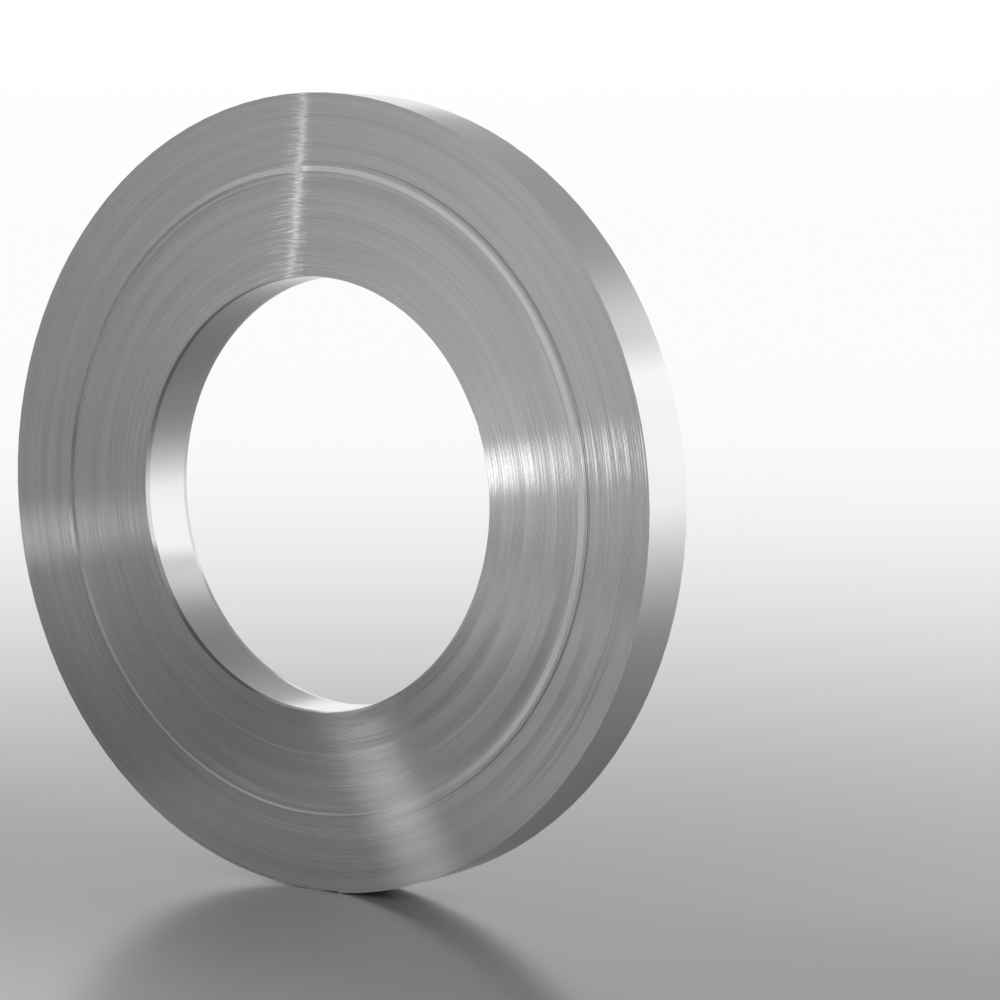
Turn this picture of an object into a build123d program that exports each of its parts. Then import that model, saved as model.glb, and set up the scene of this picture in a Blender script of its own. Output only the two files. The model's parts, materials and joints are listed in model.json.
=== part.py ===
from build123d import *
import math
import os

# Coil of slit aluminium strip, in millimetres, standing on its rim on a floor at z = 0.
# +Z is up. The coil's axis lies along Y, above the origin, and its front end faces -Y.
# One strip makes the whole coil, so it is one turned solid with its bore. Its turns are
# grouped in bands. Each band is as wide as the strip and is slid a little along the axis,
# as winding tension leaves it, so what stands proud at the front is sunk at the rear.

# Driving dimensions
bore_diameter = 508.0  # a 20 inch winding mandrel
outer_diameter = 935.0
strip_width = 76.0
strip_thickness = 1.5
telescope = 1.5  # the furthest that a band is slid out of line

# Where the strip's inner end lies, in degrees, counter-clockwise from +X seen from the front.
# The strip runs clockwise from its inner end to its outer end.
inner_end_angle = 20.0

# The bands from the bore outwards: the share of the wound build-up where each band ends,
# and the share of the telescope by which it is slid towards the front.
band_shares = (
    (0.035, 0.50),
    (0.120, -0.15),
    (0.200, 0.20),
    (0.255, -0.45),
    (0.335, 0.15),
    (0.395, -0.30),
    (0.465, 0.25),
    (0.520, -0.10),
    (0.570, -1.00),
    (0.630, 1.00),
    (0.665, -0.50),
    (0.735, 0.10),
    (0.790, -0.35),
    (0.870, 0.20),
    (0.945, -0.20),
    (1.000, 0.05),
)

# Sizes that follow
bore_radius = bore_diameter / 2
outer_radius = outer_diameter / 2
build_up = outer_radius - bore_radius

# The coil stands where a rolling one stops: on the step of its outer end, a little to the
# right of the bottom, and on the turn below that end, straight under the axis.
axis_height = outer_radius - strip_thickness
outer_end_angle = math.degrees(math.acos(axis_height / outer_radius)) - 90


def wound_bands():
    """The winding as round bands, turned about Y from a half section."""
    section = Sketch()
    inner = bore_radius
    for end_share, slide_share in band_shares:
        outer = bore_radius + end_share * build_up
        place = Pos((inner + outer) / 2, -slide_share * telescope)
        section += place * Rectangle(outer - inner, strip_width)
        inner = outer
    return revolve(section, axis=Axis.Y)


def across_width(outline, angle):
    """An outline seen from the front, turned by an angle and run across the whole width."""
    face = Plane.XZ * Rot(0, 0, angle) * outline
    return extrude(face, amount=strip_width, both=True)


def outer_wrap():
    """The room inside the last turn, which gains one thickness in a turn and ends in a step.

    Two half circles, struck from two centres on the line of the step, make the spiral.
    """
    centre = strip_thickness / 4
    near_radius = outer_radius - centre
    far_radius = near_radius - strip_thickness / 2
    near_half = CenterArc((centre, 0), near_radius, 0, 180)
    far_half = CenterArc((-centre, 0), far_radius, 180, 180)
    step = Line(far_half @ 1, near_half @ 0)
    return across_width(make_face([near_half, far_half, step]), outer_end_angle)


def inner_end_gap():
    """The wedge left open in the bore, where the second turn climbs over the inner end."""
    climbed_radius = bore_radius + strip_thickness
    climb = math.acos(bore_radius / climbed_radius)
    lift_off = (bore_radius * math.cos(climb), bore_radius * math.sin(climb))
    outline = Polygon((0, 0), (climbed_radius, 0), lift_off, align=None)
    return across_width(outline, inner_end_angle)


def strip_coil():
    """The whole coil, raised to stand on its rim."""
    winding = wound_bands() & outer_wrap()
    winding -= inner_end_gap()
    return Pos(0, 0, axis_height) * winding


os.makedirs("parts", exist_ok=True)
export_step(strip_coil(), "parts/strip_coil.step")
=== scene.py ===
import json
import math

import bpy
import numpy as np
from mathutils import Matrix, Vector


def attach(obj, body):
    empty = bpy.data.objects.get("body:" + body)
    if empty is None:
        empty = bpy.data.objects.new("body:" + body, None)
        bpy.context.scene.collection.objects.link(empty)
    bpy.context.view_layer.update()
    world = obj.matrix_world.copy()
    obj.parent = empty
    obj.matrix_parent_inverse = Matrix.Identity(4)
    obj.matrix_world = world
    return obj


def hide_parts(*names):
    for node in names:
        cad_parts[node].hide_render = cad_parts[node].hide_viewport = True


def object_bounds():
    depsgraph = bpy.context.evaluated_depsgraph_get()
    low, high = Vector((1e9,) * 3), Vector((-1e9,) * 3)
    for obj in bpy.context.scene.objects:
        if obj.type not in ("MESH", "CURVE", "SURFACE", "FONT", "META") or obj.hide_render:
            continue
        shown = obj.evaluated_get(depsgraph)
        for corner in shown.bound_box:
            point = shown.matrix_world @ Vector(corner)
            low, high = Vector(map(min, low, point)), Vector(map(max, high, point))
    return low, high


# Coil of aluminium strip, dressed as the strip that it is: one ribbon, wound from its inner
# end in the bore to its outer end under the coil. Metres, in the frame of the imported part:
# +Z up, the coil's axis along Y, and the front end facing -Y.

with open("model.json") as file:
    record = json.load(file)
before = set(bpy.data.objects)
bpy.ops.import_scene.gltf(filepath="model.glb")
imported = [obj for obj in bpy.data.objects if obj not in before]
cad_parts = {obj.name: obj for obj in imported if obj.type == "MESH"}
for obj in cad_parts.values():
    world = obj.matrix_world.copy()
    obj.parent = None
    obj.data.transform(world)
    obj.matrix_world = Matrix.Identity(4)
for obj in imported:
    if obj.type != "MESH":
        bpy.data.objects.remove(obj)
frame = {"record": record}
cad_low, cad_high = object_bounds()

# Sizes from the frame
bore = next(mount for mount in frame["record"]["mounts"] if mount["name"] == "bore")
BORE_RADIUS = bore["dims"]["r_mm"] / 1000
STRIP_WIDTH = bore["dims"]["length_mm"] / 1000
AXIS_HEIGHT = bore["pos_m"][2]
TELESCOPE = (cad_high.y - cad_low.y - STRIP_WIDTH) / 2
MIDDLE = (0, 0, AXIS_HEIGHT)

# The strip and its spiral, a hair inside the solid. It runs clockwise, seen from the front.
STRIP_THICKNESS = 0.0015
INSET = 0.00002
OUTER_RADIUS = AXIS_HEIGHT + STRIP_THICKNESS - INSET
INNER_END_ANGLE = math.radians(20.0)
OUTER_END_ANGLE = math.acos((AXIS_HEIGHT - INSET) / OUTER_RADIUS) - math.pi / 2
WHOLE_TURNS = 141
TURNS = WHOLE_TURNS + (INNER_END_ANGLE - OUTER_END_ANGLE) / math.tau
PITCH = (OUTER_RADIUS - BORE_RADIUS) / (TURNS + 1)
# The ramp on which a turn climbs over the inner end grows by this share of a turn each time
RAMP_GROWTH = 0.03

# Places along the strip, in turns from its inner end. The grooves beside the strip go on for
# one turn more, round the outside of the last turn.
STEPS_PER_TURN = 96
STEPS = round(TURNS * STEPS_PER_TURN)
STRIP_PLACE = np.arange(STEPS + 1) * TURNS / STEPS
GROOVE_PLACE = np.arange(STEPS + STEPS_PER_TURN + 1) * TURNS / STEPS

# The slit edge of the strip: a land between a sharp shoulder and a rolled-over one
INNER_SHOULDER = 0.04 * STRIP_THICKNESS
OUTER_SHOULDER = 0.30 * STRIP_THICKNESS
GROOVE_DEPTH = 0.00008
# A groove beside a step of this height is open, and gets none of the painted shade of a closed
# groove
OPEN_STEP = 0.0006
# The mandrel has broken the corner of the bore. It runs out between two places along the strip.
BORE_CORNER_WIDTH = 0.65 * STRIP_THICKNESS
BORE_CORNER_DEPTH = 0.0065
BORE_CORNER_FADE = (0.9, 1.0)

# Bands of turns from the bore outwards, as in the solid: where each ends, as a share of the
# build-up, and how far it is slid to the front, as a share of the telescope
BAND_SHARES = (
    (0.035, 0.50),
    (0.120, -0.15),
    (0.200, 0.20),
    (0.255, -0.45),
    (0.335, 0.15),
    (0.395, -0.30),
    (0.465, 0.25),
    (0.520, -0.10),
    (0.570, -1.00),
    (0.630, 1.00),
    (0.665, -0.50),
    (0.735, 0.10),
    (0.790, -0.35),
    (0.870, 0.20),
    (0.945, -0.20),
    (1.000, 0.05),
)
# The strip slides over evenly from the middle of one band to the middle of the next. A step
# past this share of the telescope stays sharp: it keeps to this share of the build-up on
# either side of where the band ends.
SHARP_STEP = 1.0
SHARP_EASE = 0.002

# The proud ring: turns that lean outwards, with a painted highlight in their tone that is brightest
# towards one direction round the axis
RING_SHARES = (0.573, 0.604)
RING_HIGHLIGHT_DIRECTION = math.radians(30.0)
RING_LEAN = 0.00004
RING_HIGHLIGHT = 1.0
RING_HIGHLIGHT_MEAN = 0.5
RING_HIGHLIGHT_SWING = 0.9

# How unevenly the turns lie: how many random values there are in a turn, and their spread
SLIDE_VALUES = 3
SLIDE_SPREAD = 0.00003
LEAN_VALUES = 5
LEAN_SPREAD = 0.000004
TONE_VALUES = 2
TONE_SPREAD = 0.10
MEAN_TONE = 0.5
# Strands of turns that lie alike: how many turns apart they are, and how many go round the axis
LEAN_STRANDS = (3.6, 7)
STRAND_LEAN_SPREAD = 0.000003
TONE_STRANDS = (3.1, 5)
SEED = 7

# The numbers of the coil's two materials
SLIT_EDGE = 0
ROLLED_FACE = 1


def spiral_turn(turn):
    """How many layers lie under the strip at a place given in turns from its inner end.

    Near the bore a turn stays round and climbs over the inner end in a short ramp. The ramp
    grows longer from turn to turn until the winding is an even spiral.
    """
    first_ramp = math.acos(BORE_RADIUS / (BORE_RADIUS + STRIP_THICKNESS)) / math.tau
    whole = np.floor(turn)
    ramp = np.minimum(1.0, first_ramp + RAMP_GROWTH * whole)
    return whole + np.clip((turn - whole - 1 + ramp) / ramp, 0, 1)


def wander(values_per_turn, spread, random):
    """Random values along the strip, with even blends between them."""
    node = np.arange(int((TURNS + 2) * values_per_turn)) / values_per_turn
    return np.interp(STRIP_PLACE, node, random.normal(0, spread, len(node)))


def strands(turns_apart, directions, spread, random):
    """Random values over an end, by turns from the bore and direction round the axis, with
    even blends, so that neighbouring turns are alike and each strand of turns fades in and out."""
    rows = int((TURNS + 3) / turns_apart) + 2
    table = random.normal(0, spread, (rows, directions))
    row = STRIP_PLACE / turns_apart
    low = row.astype(int)
    column = (STRIP_PLACE % 1) * directions
    left = column.astype(int)
    right = (left + 1) % directions
    across = column - left
    out = row - low
    inner = table[low, left] * (1 - across) + table[low, right] * across
    outer = table[low + 1, left] * (1 - across) + table[low + 1, right] * across
    return inner * (1 - out) + outer * out


def band_slide():
    """How far the strip is slid to the front by its band."""
    start = 0.0
    marks = []
    slides = []
    for (end, slide), (_, next_slide) in zip(BAND_SHARES, BAND_SHARES[1:]):
        marks.append((start + end) / 2)
        slides.append(slide)
        if abs(next_slide - slide) > SHARP_STEP:
            marks += [end - SHARP_EASE, end + SHARP_EASE]
            slides += [slide, next_slide]
        start = end
    last_end, last_slide = BAND_SHARES[-1]
    marks.append((start + last_end) / 2)
    slides.append(last_slide)
    return TELESCOPE * np.interp(STRIP_PLACE / TURNS, marks, slides)


def lie_of_turns():
    """How each place of the strip is slid, how far its edge leans outwards, and its tone with the
    ring's painted highlight.
    """
    random = np.random.default_rng(SEED)
    ring_start, ring_end = (share * TURNS for share in RING_SHARES)
    in_ring = (STRIP_PLACE > ring_start) & (STRIP_PLACE < ring_end)
    slide = band_slide() + wander(SLIDE_VALUES, SLIDE_SPREAD, random)
    lean = RING_LEAN * in_ring + wander(LEAN_VALUES, LEAN_SPREAD, random)
    lean += strands(*LEAN_STRANDS, STRAND_LEAN_SPREAD, random)
    tone = MEAN_TONE + wander(TONE_VALUES, TONE_SPREAD, random)
    tone += strands(*TONE_STRANDS, TONE_SPREAD, random)
    direction = INNER_END_ANGLE - STRIP_PLACE * math.tau
    # Painted highlight on the ring, brightest towards one direction round the axis
    painted_highlight = np.clip(RING_HIGHLIGHT_MEAN + RING_HIGHLIGHT_SWING * np.cos(direction - RING_HIGHLIGHT_DIRECTION), 0, 1)
    tone = np.clip(tone, 0, 1) + RING_HIGHLIGHT * painted_highlight * in_ring
    return np.clip(slide, -TELESCOPE, TELESCOPE), lean, tone


def points_at(radius, angle, along):
    """Points at radii and angles round the axis, and at places along it."""
    return np.stack([radius * np.cos(angle), along, AXIS_HEIGHT + radius * np.sin(angle)], axis=1)


def end_lines(side, slide, lean):
    """Points of one end, along its grooves and its inner and outer shoulders: side is -1 at
    the front and 1 at the rear."""
    n = STEPS_PER_TURN
    angle = INNER_END_ANGLE - GROOVE_PLACE * math.tau
    radius = BORE_RADIUS + PITCH * spiral_turn(GROOVE_PLACE)
    edge = side * STRIP_WIDTH / 2 - slide
    below = np.concatenate([edge[:n], edge])
    above = np.concatenate([edge, edge[-n:]])
    deepest = side * np.minimum(side * below, side * above)
    depth = np.interp(GROOVE_PLACE, BORE_CORNER_FADE, [BORE_CORNER_DEPTH, GROOVE_DEPTH])
    grooves = points_at(radius, angle, deepest - side * depth)

    angle = angle[:STEPS + 1]
    radius = radius[:STEPS + 1]
    shoulder = np.interp(STRIP_PLACE, BORE_CORNER_FADE, [BORE_CORNER_WIDTH, INNER_SHOULDER])
    inward = side * np.maximum(0, -lean)
    outward = side * np.maximum(0, lean)
    inner = points_at(radius + shoulder, angle, edge - inward)
    outer = points_at(radius + PITCH - OUTER_SHOULDER, angle, edge - outward)
    return grooves, inner, outer


def ribbon(low, high):
    """Four-sided faces between two lines of points."""
    return np.stack([low[:-1], low[1:], high[1:], high[:-1]], axis=1)


def across_strip(end, i):
    """The points across one slit edge of the strip at a step along it."""
    groove, inner, outer = end
    return np.array([groove[i], inner[i], outer[i], groove[i + STEPS_PER_TURN]])


def strip_end(front, rear, i):
    """Faces that close the strip at one of its ends."""
    return ribbon(across_strip(front, i), across_strip(rear, i))


def coil_faces(front, rear):
    """The faces on the slit edges, on the rolled walls of rim and bore, and at the strip's ends."""
    n = STEPS_PER_TURN
    strip = slice(0, STEPS + 1)
    outside = slice(n, n + STEPS + 1)
    groove, inner, outer = front
    edges = [ribbon(groove[strip], inner), ribbon(inner, outer), ribbon(outer, groove[outside])]
    groove, inner, outer = rear
    edges += [ribbon(inner, groove[strip]), ribbon(outer, inner), ribbon(groove[outside], outer)]
    bore_wall = ribbon(rear[0][:n + 1], front[0][:n + 1])
    rim_wall = ribbon(front[0][STEPS:], rear[0][STEPS:])
    ends = [strip_end(front, rear, 0), strip_end(front, rear, STEPS)[:, ::-1]]
    return np.concatenate(edges), np.concatenate([bore_wall, rim_wall]), np.concatenate(ends)


def mark_sharp(mesh, front, rear):
    """Sharp edges along each groove and shoulder, and round the two ends of the strip."""
    line = np.zeros(len(mesh.vertices), np.int8)
    cut = np.zeros(len(mesh.vertices), np.int8)
    for number, points in enumerate((*front, *rear), start=1):
        line[points] = number
    for number, i in enumerate((0, STEPS), start=1):
        cut[across_strip(front, i)] = number
        cut[across_strip(rear, i)] = number
    ends = np.zeros(2 * len(mesh.edges), np.int32)
    mesh.edges.foreach_get("vertices", ends)
    one, two = ends.reshape(-1, 2).T
    along_line = (line[one] > 0) & (line[one] == line[two])
    round_cut = (cut[one] > 0) & (cut[one] == cut[two])
    sharp = mesh.attributes.new("sharp_edge", "BOOLEAN", "EDGE")
    sharp.data.foreach_set("value", along_line | round_cut)


def add_values(mesh, front, rear, slide, tone):
    """Values that the material reads: depth in a groove, which masks painted shade, and the tone of
    each turn, with the ring's painted highlight in it. A wall that a proud turn bares, and the
    corner of the bore, are open to the light and get no painted shade."""
    step = np.abs(slide[STEPS_PER_TURN:] - slide[:-STEPS_PER_TURN])
    # Painted shade in each groove, except beside a step that leaves the groove open
    closed = np.clip(1 - step / OPEN_STEP, 0, 1)
    depth = np.zeros(len(mesh.vertices), np.float32)
    tones = np.zeros(len(mesh.vertices), np.float32)
    for groove, inner, outer in (front, rear):
        depth[groove[STEPS_PER_TURN:-STEPS_PER_TURN]] = closed
        tones[groove] = np.concatenate([tone, tone[-STEPS_PER_TURN:]])
        tones[inner] = tone
        tones[outer] = tone
    for name, values in (("groove", depth), ("tone_and_ring_highlight", tones)):
        mesh.attributes.new(name, "FLOAT", "POINT").data.foreach_set("value", values)


def wound_strip():
    """The coil as one closed mesh: both ends with every turn, the rim, the bore and the two
    ends of the strip."""
    slide, lean, tone = lie_of_turns()
    lines_of_points = [*end_lines(-1, slide, lean), *end_lines(1, slide, lean)]
    starts = np.cumsum([0] + [len(line) for line in lines_of_points])
    index = [np.arange(start, end) for start, end in zip(starts, starts[1:])]
    front, rear = index[:3], index[3:]
    edges, walls, ends = coil_faces(front, rear)

    mesh = bpy.data.meshes.new("wound_strip")
    faces = np.concatenate([edges, walls, ends])
    mesh.from_pydata(np.concatenate(lines_of_points).tolist(), [], faces.tolist())
    material = np.full(len(faces), SLIT_EDGE, np.int32)
    material[len(edges):] = ROLLED_FACE
    mesh.polygons.foreach_set("material_index", material)
    mesh.polygons.foreach_set("use_smooth", np.ones(len(faces), bool))
    mark_sharp(mesh, front, rear)
    add_values(mesh, front, rear, slide, tone)
    mesh.update()
    return mesh


# Materials

# Noise drawn out into lines along the strip: how many to a metre, how fast they change round
# the axis, and their detail
FINE_LINES = (3200.0, 2.2, 0.0)
BROAD_LINES = (260.0, 1.3, 4.0)
GRAIN_LINES = (900.0, 4.0, 3.0)
# Most values of the noise lie between these
NOISE_RANGE = (0.3, 0.7)

# The slit edges: greys by tone, from dull turns up to the ring's painted highlight, and painted
# shade deep in a groove
EDGE_GREYS = [(0.28, 0.64), (0.72, 0.76), (0.9, 0.95)]
GROOVE_SHADE_COLOUR = (0.34, 0.34, 0.35, 1)
GROOVE_SHADE_POWER = 3.0
EDGE_ROUGHNESS = (0.05, 0.065)
EDGE_ANISOTROPY = 1.0
# How far the steepest flanks of the fine lines lean over, as a slope. The power leaves most
# of the metal almost flat.
FLANK_LEAN = 0.045
FLANK_POWER = 3.0

# The rolled faces of the strip, on the rim and in the bore
FACE_COLOUR = (0.90, 0.90, 0.91, 1)
FACE_ROUGHNESS = (0.15, 0.20)
FACE_ANISOTROPY = 0.6
GRAIN_STRENGTH = 0.15
GRAIN_HEIGHT = 0.00003

# The shader spreads light along the tangent, and a quarter turn makes that across the strip
QUARTER_TURN = 0.25


def add(tree, kind, **settings):
    """A new node with its settings."""
    node = tree.nodes.new(kind)
    for name, value in settings.items():
        setattr(node, name, value)
    return node


def vector_math(tree, operation, one, two=None):
    """A node that works on one or two vectors, each a constant or a socket."""
    node = add(tree, "ShaderNodeVectorMath", operation=operation)
    for socket, value in zip(node.inputs, (one, two)):
        if isinstance(value, tuple):
            socket.default_value = value
        elif value is not None:
            tree.links.new(value, socket)
    return node


def number_math(tree, operation, *values):
    """The result of a sum on numbers, each a constant or a socket."""
    node = add(tree, "ShaderNodeMath", operation=operation)
    for socket, value in zip(node.inputs, values):
        if isinstance(value, float):
            socket.default_value = value
        else:
            tree.links.new(value, socket)
    return node.outputs[0]


def scaled(tree, vector, factor):
    """A vector times a factor."""
    node = vector_math(tree, "SCALE", vector)
    if isinstance(factor, float):
        node.inputs["Scale"].default_value = factor
    else:
        tree.links.new(factor, node.inputs["Scale"])
    return node.outputs[0]


def turned(tree, vector, kind, one, two):
    """A vector or normal turned from one space to another."""
    node = add(tree, "ShaderNodeVectorTransform", vector_type=kind)
    node.convert_from = one
    node.convert_to = two
    tree.links.new(vector, node.inputs["Vector"])
    return node.outputs["Vector"]


def grey_ramp(tree, value, stops):
    """Greys at places between 0 and 1, with even blends between them."""
    ramp = add(tree, "ShaderNodeValToRGB")
    elements = ramp.color_ramp.elements
    while len(elements) < len(stops):
        elements.new(0.5)
    for element, (position, grey) in zip(elements, stops):
        element.position = position
        element.color = (grey, grey, grey, 1)
    tree.links.new(value, ramp.inputs["Fac"])
    return ramp.outputs["Color"]


def from_axis(tree):
    """The radius, the direction outwards, and the place along the axis, of a shaded point."""
    place = add(tree, "ShaderNodeTexCoord").outputs["Object"]
    flat = vector_math(tree, "MULTIPLY", place, (1, 0, 1)).outputs[0]
    out = vector_math(tree, "SUBTRACT", flat, MIDDLE).outputs[0]
    radius = vector_math(tree, "LENGTH", out).outputs["Value"]
    outwards = vector_math(tree, "NORMALIZE", out).outputs[0]
    parts = add(tree, "ShaderNodeSeparateXYZ")
    tree.links.new(place, parts.inputs[0])
    return radius, outwards, parts.outputs["Y"]


def lines(tree, distance, outwards, lines_per_metre, round_change, detail):
    """Noise drawn out round the axis: lines along the strip that fade in and out."""
    lift = add(tree, "ShaderNodeCombineXYZ")
    tree.links.new(number_math(tree, "MULTIPLY", distance, lines_per_metre), lift.inputs["Y"])
    place = vector_math(tree, "ADD", scaled(tree, outwards, round_change), lift.outputs[0])
    noise = add(tree, "ShaderNodeTexNoise")
    noise.inputs["Scale"].default_value = 1.0
    noise.inputs["Detail"].default_value = detail
    tree.links.new(place.outputs[0], noise.inputs["Vector"])
    return noise.outputs["Fac"]


def spread(tree, value, low, high):
    """A noise value spread between two values."""
    ramp = add(tree, "ShaderNodeMapRange")
    ramp.inputs["From Min"].default_value, ramp.inputs["From Max"].default_value = NOISE_RANGE
    ramp.inputs["To Min"].default_value = low
    ramp.inputs["To Max"].default_value = high
    tree.links.new(value, ramp.inputs["Value"])
    return ramp.outputs["Result"]


def metal(name, anisotropy):
    """Metal polished along the strip, so that light spreads across it."""
    material = bpy.data.materials.new(name)
    material.use_nodes = True
    tree = material.node_tree
    shader = tree.nodes["Principled BSDF"]
    shader.inputs["Metallic"].default_value = 1.0
    shader.inputs["Anisotropic"].default_value = anisotropy
    shader.inputs["Anisotropic Rotation"].default_value = QUARTER_TURN
    tangent = add(tree, "ShaderNodeTangent", direction_type="RADIAL", axis="Y")
    tree.links.new(tangent.outputs["Tangent"], shader.inputs["Tangent"])
    return material, tree, shader


def lean_across(tree, shader, outwards, lean):
    """Lean the shaded surface towards or away from the axis, as the flanks of fine grooves do.
    The slant along the strip, which blending over long facets leaves, is taken out."""
    normal = add(tree, "ShaderNodeNewGeometry").outputs["Normal"]
    normal = turned(tree, normal, "NORMAL", "WORLD", "OBJECT")
    along = vector_math(tree, "CROSS_PRODUCT", outwards, (0, 1, 0)).outputs[0]
    slant = vector_math(tree, "DOT_PRODUCT", normal, along).outputs["Value"]
    straight = vector_math(tree, "SUBTRACT", normal, scaled(tree, along, slant)).outputs[0]
    leaned = vector_math(tree, "ADD", straight, scaled(tree, outwards, lean)).outputs[0]
    unit = vector_math(tree, "NORMALIZE", leaned).outputs[0]
    tree.links.new(turned(tree, unit, "NORMAL", "OBJECT", "WORLD"), shader.inputs["Normal"])


def edge_colour_and_groove_shade(tree, broad):
    """Grey from turn to turn, with the ring's painted highlight, and painted shade deep in a
    groove.
    """
    tone = add(tree, "ShaderNodeAttribute", attribute_name="tone_and_ring_highlight").outputs["Fac"]
    groove = add(tree, "ShaderNodeAttribute", attribute_name="groove").outputs["Fac"]
    mean_tone = number_math(tree, "MULTIPLY", number_math(tree, "ADD", tone, broad), 0.5)
    # Painted shade: the grey darkens towards the groove colour deep in a groove
    groove_shade = add(tree, "ShaderNodeMix", data_type="RGBA")
    groove_shade.inputs["B"].default_value = GROOVE_SHADE_COLOUR
    tree.links.new(number_math(tree, "POWER", groove, GROOVE_SHADE_POWER), groove_shade.inputs["Factor"])
    tree.links.new(grey_ramp(tree, mean_tone, EDGE_GREYS), groove_shade.inputs["A"])
    return groove_shade.outputs["Result"]


def slit_edge_metal():
    """Bright cut metal with fine lines along it: most of it lies flat, and some leans far over."""
    material, tree, shader = metal("slit_edge_aluminium", EDGE_ANISOTROPY)
    radius, outwards, _ = from_axis(tree)
    fine = lines(tree, radius, outwards, *FINE_LINES)
    broad = lines(tree, radius, outwards, *BROAD_LINES)
    tree.links.new(edge_colour_and_groove_shade(tree, broad), shader.inputs["Base Color"])
    tree.links.new(spread(tree, broad, *EDGE_ROUGHNESS), shader.inputs["Roughness"])
    flank = number_math(tree, "POWER", spread(tree, fine, -1.0, 1.0), FLANK_POWER)
    lean_across(tree, shader, outwards, number_math(tree, "MULTIPLY", flank, FLANK_LEAN))
    return material


def rolled_face_metal():
    """Smooth rolled metal with a fine grain along the strip."""
    material, tree, shader = metal("rolled_face_aluminium", FACE_ANISOTROPY)
    shader.inputs["Base Color"].default_value = FACE_COLOUR
    _, outwards, along = from_axis(tree)
    grain = lines(tree, along, outwards, *GRAIN_LINES)
    tree.links.new(spread(tree, grain, *FACE_ROUGHNESS), shader.inputs["Roughness"])
    bump = add(tree, "ShaderNodeBump")
    bump.inputs["Strength"].default_value = GRAIN_STRENGTH
    bump.inputs["Distance"].default_value = GRAIN_HEIGHT
    tree.links.new(grain, bump.inputs["Height"])
    tree.links.new(bump.outputs["Normal"], shader.inputs["Normal"])
    return material


# Floor, light and camera

# How bright the room is by height, from the horizon at 0 to straight up at 1
ROOM_BEHIND = [(0.0, 0.97), (0.05, 1.0), (0.30, 1.0), (0.37, 0.42), (0.57, 0.34), (0.75, 0.10)]
ROOM_BEFORE = [(0.0, 0.345), (0.1, 0.41), (0.25, 0.50), (0.4, 0.54), (0.55, 0.42), (0.75, 0.28)]
# The room turns from before to behind between these shares of a direction along +Y
ROOM_TURN = (0.0, 0.5)

FLOOR_SIZE = 60.0
FLOOR_GREY = 0.33
FLOOR_ROUGHNESS = 0.20
# The floor turns from matt to satin between these distances from the coil along a direction
SATIN_SIDE = (math.sqrt(0.5), math.sqrt(0.5), 0)
SATIN_TURN = (-0.9, -0.3)
SATIN_LEVEL = 0.5
# The floor fades into the horizon over this length
FLOOR_FADE = 2.0
FLOOR_FADE_POWER = 2.3

# How steeply a lamp fades towards its sides
FEATHER_POWER = 2.0
# The lamps of the two side streaks slant a little
SLANT = (0.986, 0, 0.166)

# The camera's place, seen from the middle of the front end, and the way that it looks
CAMERA_DISTANCE = 8.212 * OUTER_RADIUS
CAMERA_AZIMUTH = math.radians(38.37)
CAMERA_ELEVATION = math.radians(4.87)
CAMERA_YAW = math.radians(-35.06)
CAMERA_PITCH = math.radians(-4.96)
SENSOR_WIDTH = 36.0
LENS = 3.2869 * SENSOR_WIDTH


def share_towards(tree, vector, axis, turn):
    """0 far down an axis and 1 far up it, with a soft turn between two places on it."""
    along = vector_math(tree, "DOT_PRODUCT", vector, axis).outputs["Value"]
    share = add(tree, "ShaderNodeMapRange", interpolation_type="SMOOTHSTEP")
    share.inputs["From Min"].default_value, share.inputs["From Max"].default_value = turn
    tree.links.new(along, share.inputs["Value"])
    return share.outputs["Result"]


def floor_paint():
    """Grey near the coil, fading into the brightness of the horizon far away. It is satin at
    the coil and on the far right, and matt on the near left."""
    material = bpy.data.materials.new("pale_floor")
    material.use_nodes = True
    tree = material.node_tree
    shader = tree.nodes["Principled BSDF"]
    shader.inputs["Base Color"].default_value = (FLOOR_GREY, FLOOR_GREY, FLOOR_GREY, 1)
    shader.inputs["Roughness"].default_value = FLOOR_ROUGHNESS
    place = add(tree, "ShaderNodeTexCoord").outputs["Object"]
    satin = share_towards(tree, place, SATIN_SIDE, SATIN_TURN)
    gloss = number_math(tree, "MULTIPLY", satin, SATIN_LEVEL)
    tree.links.new(gloss, shader.inputs["Specular IOR Level"])

    distance = vector_math(tree, "LENGTH", place).outputs["Value"]
    near = number_math(tree, "EXPONENT", number_math(tree, "MULTIPLY", distance, -1 / FLOOR_FADE))
    far = number_math(tree, "POWER", number_math(tree, "SUBTRACT", 1.0, near), FLOOR_FADE_POWER)
    away = vector_math(tree, "NORMALIZE", place).outputs[0]
    behind = share_towards(tree, away, (0, 1, 0), ROOM_TURN)
    horizon = grey_ramp(tree, behind, [(0.0, ROOM_BEFORE[0][1]), (1.0, ROOM_BEHIND[0][1])])
    glow = add(tree, "ShaderNodeEmission")
    tree.links.new(horizon, glow.inputs["Color"])
    mix = add(tree, "ShaderNodeMixShader")
    tree.links.new(far, mix.inputs["Fac"])
    tree.links.new(shader.outputs["BSDF"], mix.inputs[1])
    tree.links.new(glow.outputs["Emission"], mix.inputs[2])
    tree.links.new(mix.outputs[0], tree.nodes["Material Output"].inputs["Surface"])
    return material


def floor():
    """One large square under the coil."""
    half = FLOOR_SIZE / 2
    corners = [(-half, -half, 0), (half, -half, 0), (half, half, 0), (-half, half, 0)]
    mesh = bpy.data.meshes.new("floor")
    mesh.from_pydata(corners, [], [(0, 1, 2, 3)])
    mesh.materials.append(floor_paint())
    plane = bpy.data.objects.new("floor", mesh)
    bpy.context.collection.objects.link(plane)


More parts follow.
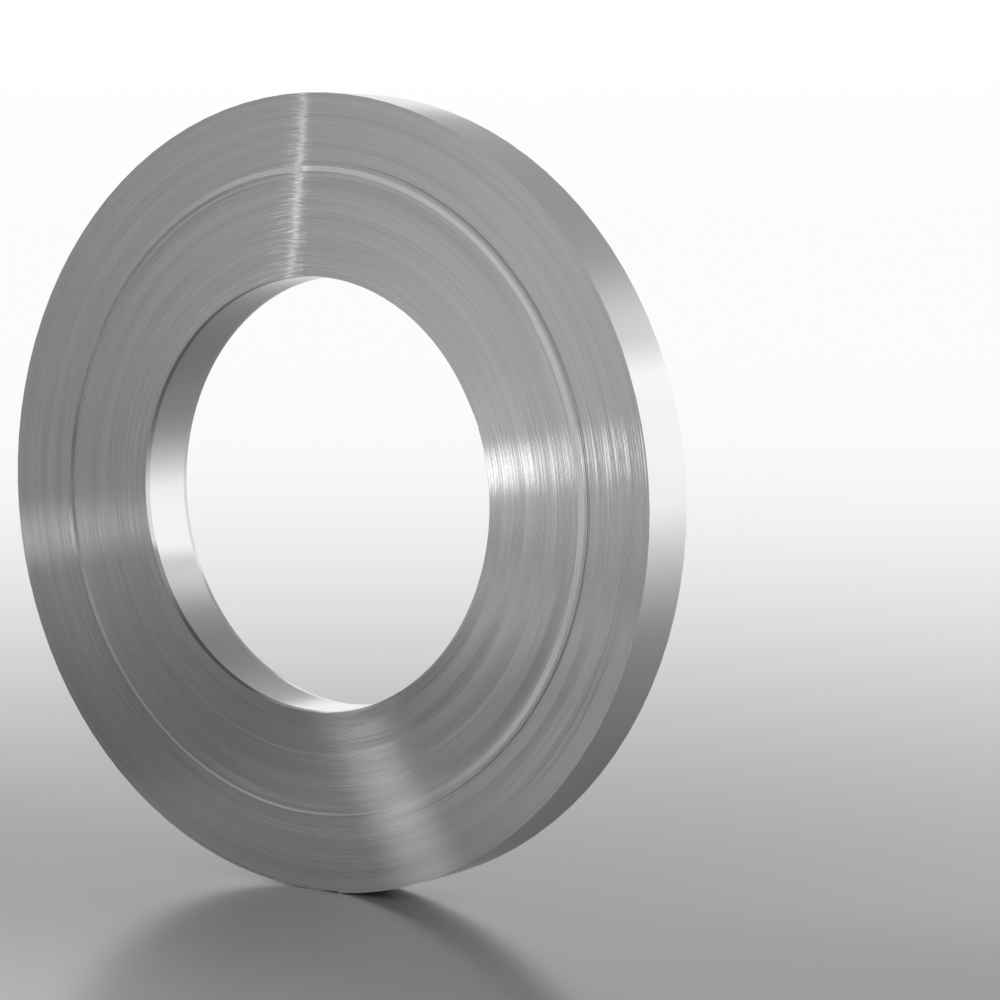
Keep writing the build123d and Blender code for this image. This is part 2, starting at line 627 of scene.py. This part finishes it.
def studio_world():
    """White sweep behind the coil, darker overhead, and a soft grey room before it."""
    world = bpy.data.worlds.new("studio")
    bpy.context.scene.world = world
    world.use_nodes = True
    tree = world.node_tree
    direction = add(tree, "ShaderNodeTexCoord").outputs["Generated"]
    behind = share_towards(tree, direction, (0, 1, 0), ROOM_TURN)
    height = add(tree, "ShaderNodeSeparateXYZ")
    tree.links.new(direction, height.inputs[0])
    mix = add(tree, "ShaderNodeMix", data_type="RGBA")
    tree.links.new(behind, mix.inputs["Factor"])
    tree.links.new(grey_ramp(tree, height.outputs["Z"], ROOM_BEFORE), mix.inputs["A"])
    tree.links.new(grey_ramp(tree, height.outputs["Z"], ROOM_BEHIND), mix.inputs["B"])
    tree.links.new(mix.outputs["Result"], tree.nodes["Background"].inputs["Color"])


def feather(lamp):
    """Fade a lamp out towards its sides, as cloth before it does."""
    lamp.use_nodes = True
    tree = lamp.node_tree
    place = add(tree, "ShaderNodeSeparateXYZ")
    tree.links.new(add(tree, "ShaderNodeNewGeometry").outputs["Parametric"], place.inputs[0])
    # The way along each side times the way left is a quarter in the middle of the lamp
    strength = 1 / 0.25 ** 2
    for axis in ("X", "Y"):
        share = place.outputs[axis]
        rest = number_math(tree, "SUBTRACT", 1.0, share)
        product = number_math(tree, "MULTIPLY", share, rest)
        strength = number_math(tree, "MULTIPLY", product, strength)
    strength = number_math(tree, "POWER", strength, FEATHER_POWER)
    tree.links.new(strength, tree.nodes["Emission"].inputs["Strength"])


def soft_box(name, place, aim, along, size, strength, fan=180.0):
    """A lamp at a place, facing an aim, with its first side along a direction and its light
    fanning out by an angle in degrees. A strength of 1 is as bright as white."""
    lamp = bpy.data.lights.new(name, "AREA")
    lamp.shape = "RECTANGLE"
    lamp.size, lamp.size_y = size
    lamp.spread = math.radians(fan)
    half_fan = lamp.spread / 2
    lamp.energy = strength * math.pi * lamp.size * lamp.size_y * (1 - half_fan / math.tan(half_fan))
    feather(lamp)
    box = bpy.data.objects.new(name, lamp)
    box.location = place
    back = (Vector(place) - Vector(aim)).normalized()
    up = back.cross(Vector(along)).normalized()
    box.rotation_euler = Matrix((up.cross(back), up, back)).transposed().to_euler()
    box.visible_camera = False
    bpy.context.collection.objects.link(box)


def lamps():
    """One lamp over the floor before the coil, one behind it for the rim, and those that the
    face mirrors: a thin streak at the top, a broad one on either side, two faint glows, and a
    strip along the floor for the streak at the bottom."""
    soft_box("front_pool", place=(0.0, -1.2, 1.9), aim=(0.0, -1.2, 0), along=(1, 0, 0),
             size=(0.5, 0.5), strength=250.0, fan=53)
    soft_box("right_rear", place=(1.4, 3.2, 2.0), aim=MIDDLE, along=(-3.2, 1.4, 0),
             size=(2.5, 1.6), strength=0.38)
    soft_box("top_streak", place=(-0.966, -1.212, 0.72), aim=MIDDLE, along=(0.1016, 0, 1),
             size=(0.9, 0.0127), strength=2.3, fan=60)
    soft_box("level_streak", place=(-2.336, -3.6, 0.155), aim=MIDDLE, along=SLANT,
             size=(0.62, 0.15), strength=2.6, fan=60)
    soft_box("level_wings", place=(-2.336, -3.6, 0.185), aim=MIDDLE, along=SLANT,
             size=(0.62, 0.5), strength=0.28, fan=60)
    soft_box("left_streak", place=(-2.23, -1.7, 0.135), aim=MIDDLE, along=SLANT,
             size=(1.3, 0.18), strength=0.55, fan=60)
    soft_box("level_glow", place=(-0.69, -1.6, 0.60), aim=(-0.69, 0, 0.60), along=(1, 0, 0),
             size=(1.9, 1.6), strength=0.16)
    soft_box("low_glow", place=(-0.26, -0.9, 0.28), aim=(-0.26, 0, 0.28), along=(1, 0, 0),
             size=(0.97, 0.54), strength=0.14)
    soft_box("floor_strip", place=(-0.45, -0.74, 0.01), aim=(-0.45, -0.74, 1), along=(1.4, 1.55, 0),
             size=(3.0, 0.13), strength=0.35)


def camera():
    """The photograph's view, worked out from the outlines of the coil's rim and bore."""
    lens = bpy.data.cameras.new("camera")
    lens.sensor_width = SENSOR_WIDTH
    lens.lens = LENS
    eye = bpy.data.objects.new("camera", lens)
    level = math.cos(CAMERA_ELEVATION)
    away = Vector((
        math.sin(CAMERA_AZIMUTH) * level,
        -math.cos(CAMERA_AZIMUTH) * level,
        math.sin(CAMERA_ELEVATION),
    ))
    eye.location = Vector((0, cad_low.y, AXIS_HEIGHT)) + CAMERA_DISTANCE * away
    level = math.cos(CAMERA_PITCH)
    look = Vector((
        math.sin(CAMERA_YAW) * level,
        math.cos(CAMERA_YAW) * level,
        math.sin(CAMERA_PITCH),
    ))
    eye.rotation_euler = look.to_track_quat("-Z", "Y").to_euler()
    bpy.context.collection.objects.link(eye)
    bpy.context.scene.camera = eye


coil = bpy.data.objects.new("wound_strip", wound_strip())
bpy.context.collection.objects.link(coil)
coil.data.materials.append(slit_edge_metal())
coil.data.materials.append(rolled_face_metal())
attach(coil, "root")
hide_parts("strip_coil")

floor()
studio_world()
lamps()
camera()
bpy.context.scene.view_settings.view_transform = "Standard"
